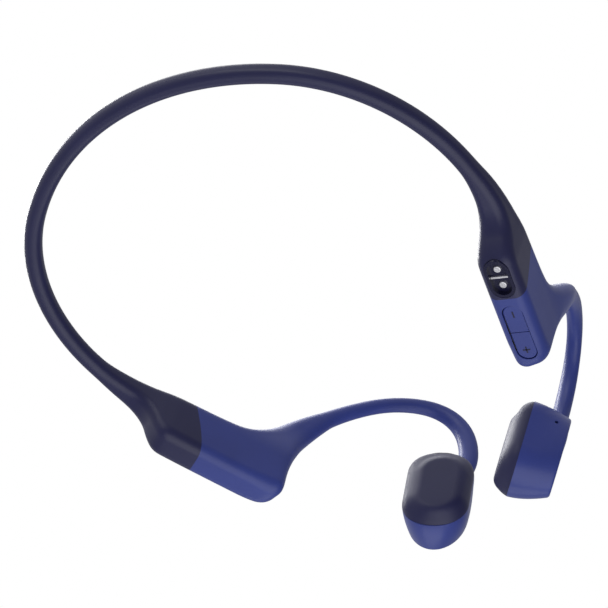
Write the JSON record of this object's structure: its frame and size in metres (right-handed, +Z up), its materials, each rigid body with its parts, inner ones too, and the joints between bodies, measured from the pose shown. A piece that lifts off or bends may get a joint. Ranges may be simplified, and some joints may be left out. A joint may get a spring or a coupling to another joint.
{
  "type": "bone conduction headphones",
  "caption": "Open-ear bone conduction headphones: a sprung neckband joins two pods behind the ears, and ear hooks carry the padded transducers.",
  "frame": {"origin": "on the surface that the headphones stand on, below the middle of their bounding box", "axes": "+X is the wearer's right, +Y is the wearer's forward, +Z is up as worn"},
  "size_m": [0.1256, 0.1434, 0.0473],
  "materials": {
    "sleeve_silicone": "matte dark navy silicone",
    "cover_silicone": "satin blue silicone",
    "driver_shell": "satin blue shell",
    "pad_silicone": "matte dark navy silicone",
    "key_silicone": "satin blue silicone",
    "spring_wire": "drawn nickel titanium wire",
    "cable_sheath": "matte black",
    "inner_plastic": "black moulded plastic",
    "seal_rubber": "soft grey rubber",
    "port_plastic": "glossy dark navy",
    "contact_metal": "plated contact",
    "magnet_metal": "nickel plated",
    "steel": "stamped steel",
    "copper": "enamelled copper winding",
    "circuit_board": "green solder mask",
    "chip_plastic": "black epoxy",
    "battery_foil": "pouch foil"
  },
  "bodies": {
    "root": {"battery_board": "circuit_board", "battery_cell": "battery_foil", "bluetooth_chip": "chip_plastic", "charging_pins": "contact_metal", "charging_port_bezel": "port_plastic", "charging_port_divider": "contact_metal", "charging_port_magnet": "magnet_metal", "key_board": "circuit_board", "left_driver_housing": "driver_shell", "left_ear_hook_cable": "cable_sheath", "left_ear_hook_cover": "cover_silicone", "left_ear_hook_wire": "spring_wire", "left_face_pad": "pad_silicone", "left_pod_chassis": "inner_plastic", "left_pod_lid": "inner_plastic", "left_pod_lid_seal": "seal_rubber", "left_suspension_spring": "steel", "left_vibration_plate": "inner_plastic", "left_voice_coil": "copper", "main_circuit_board": "circuit_board", "microphone": "chip_plastic", "multifunction_switch": "chip_plastic", "neckband_cable": "cable_sheath", "neckband_sleeve": "sleeve_silicone", "neckband_wire": "spring_wire", "right_driver_housing": "driver_shell", "right_ear_hook_cable": "cable_sheath", "right_ear_hook_cover": "cover_silicone", "right_ear_hook_wire": "spring_wire", "right_face_pad": "pad_silicone", "right_pod_chassis": "inner_plastic", "right_pod_lid": "inner_plastic", "right_pod_lid_seal": "seal_rubber", "right_suspension_spring": "steel", "right_vibration_plate": "inner_plastic", "right_voice_coil": "copper", "volume_down_switch": "chip_plastic", "volume_up_switch": "chip_plastic"},
    "volume_up": {"volume_up_key": "key_silicone"},
    "volume_down": {"volume_down_key": "key_silicone"},
    "multifunction": {"multifunction_button": "key_silicone"},
    "right_motor": {"right_motor_yoke": "steel", "right_motor_magnet": "magnet_metal", "right_motor_top_plate": "steel"},
    "left_motor": {"left_motor_yoke": "steel", "left_motor_magnet": "magnet_metal", "left_motor_top_plate": "steel"}
  },
  "joints": [
    {"name": "volume_up_press", "type": "slide", "parent": "root", "child": "volume_up", "axis": [0, 0, 1], "range_m": [0, 0.0003], "stiffness_N_per_m": 4000},
    {"name": "volume_down_press", "type": "slide", "parent": "root", "child": "volume_down", "axis": [0, 0, 1], "range_m": [0, 0.0003], "stiffness_N_per_m": 4000},
    {"name": "multifunction_press", "type": "slide", "parent": "root", "child": "multifunction", "axis": [0.9184, -0.3955, 0], "range_m": [0, 0.0003], "stiffness_N_per_m": 4000},
    {"name": "right_motor_vibration", "type": "slide", "parent": "root", "child": "right_motor", "axis": [0.6001, 0.7998, 0.0139], "range_m": [-0.00015, 0.00015], "stiffness_N_per_m": 2500},
    {"name": "left_motor_vibration", "type": "slide", "parent": "root", "child": "left_motor", "axis": [-0.6001, 0.7998, 0.0139], "range_m": [-0.00015, 0.00015], "stiffness_N_per_m": 2500}
  ]
}
